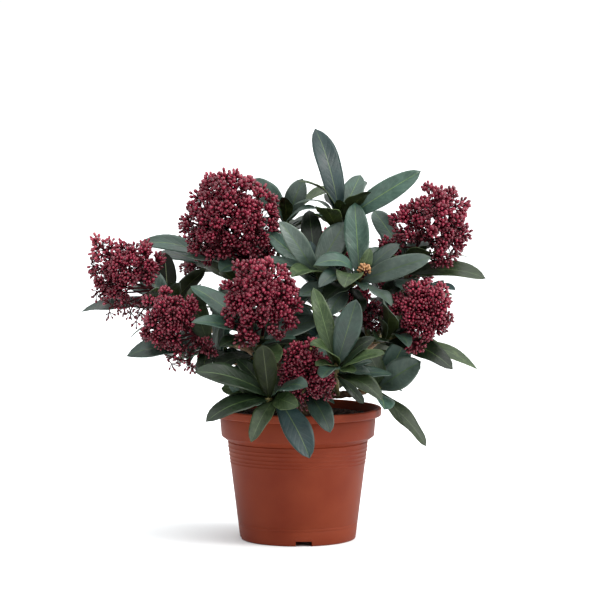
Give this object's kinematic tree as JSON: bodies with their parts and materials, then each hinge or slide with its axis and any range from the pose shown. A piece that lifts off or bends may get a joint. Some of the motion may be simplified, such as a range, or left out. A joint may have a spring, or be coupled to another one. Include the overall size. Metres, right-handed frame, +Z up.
{
  "type": "potted skimmia shrub",
  "caption": "Skimmia shrub in bud in a terracotta-coloured plastic nursery pot: short stem, boughs, leafy shoots and domed heads of red flower buds.",
  "frame": {"origin": "centre of the pot's flat underside, where it stands", "axes": "+Z up, +X to the right of the front, +Y away from the front"},
  "size_m": [0.339, 0.2635, 0.344],
  "materials": {
    "pot": "satin moulded terracotta-coloured plastic",
    "compost": "dark crumbly compost",
    "bark": "grey-brown young bark",
    "foliage": "leathery grey-green leaves with a satin upper side",
    "flower_buds": "waxy dark red buds"
  },
  "bodies": {
    "root": {"pot": "pot", "soil": "compost", "main_stem": "bark", "bough_left": "bark", "bough_far_left": "bark", "bough_upper_left": "bark", "bough_top": "bark", "bough_right": "bark", "bough_low_right": "bark", "bough_front": "bark", "bough_back": "bark", "bough_back_left": "bark", "bough_back_right": "bark", "shoot_top": "foliage", "shoot_crest": "foliage", "shoot_middle": "foliage", "shoot_upper_right": "foliage", "shoot_right": "foliage", "shoot_inner_right": "foliage", "shoot_low_right": "foliage", "shoot_front_right": "foliage", "shoot_inner": "foliage", "shoot_front_low": "foliage", "shoot_front": "foliage", "shoot_front_left": "foliage", "shoot_left": "foliage", "shoot_far_left": "foliage", "shoot_upper_left": "foliage", "shoot_left_back": "foliage", "shoot_top_back": "foliage", "shoot_back": "foliage", "shoot_back_inner": "foliage", "shoot_back_left": "foliage", "shoot_low_back_left": "foliage", "shoot_back_right": "foliage", "shoot_low_back_right": "foliage", "head_upper_left": "flower_buds", "head_front_left": "flower_buds", "head_far_left": "flower_buds", "head_left": "flower_buds", "head_front": "flower_buds", "head_upper_right": "flower_buds", "head_right": "flower_buds", "head_inner_right": "flower_buds", "head_left_back": "flower_buds", "head_crest": "flower_buds", "head_back": "flower_buds", "head_back_left": "flower_buds", "head_back_right": "flower_buds", "head_low_back_left": "flower_buds"}
  },
  "joints": []
}
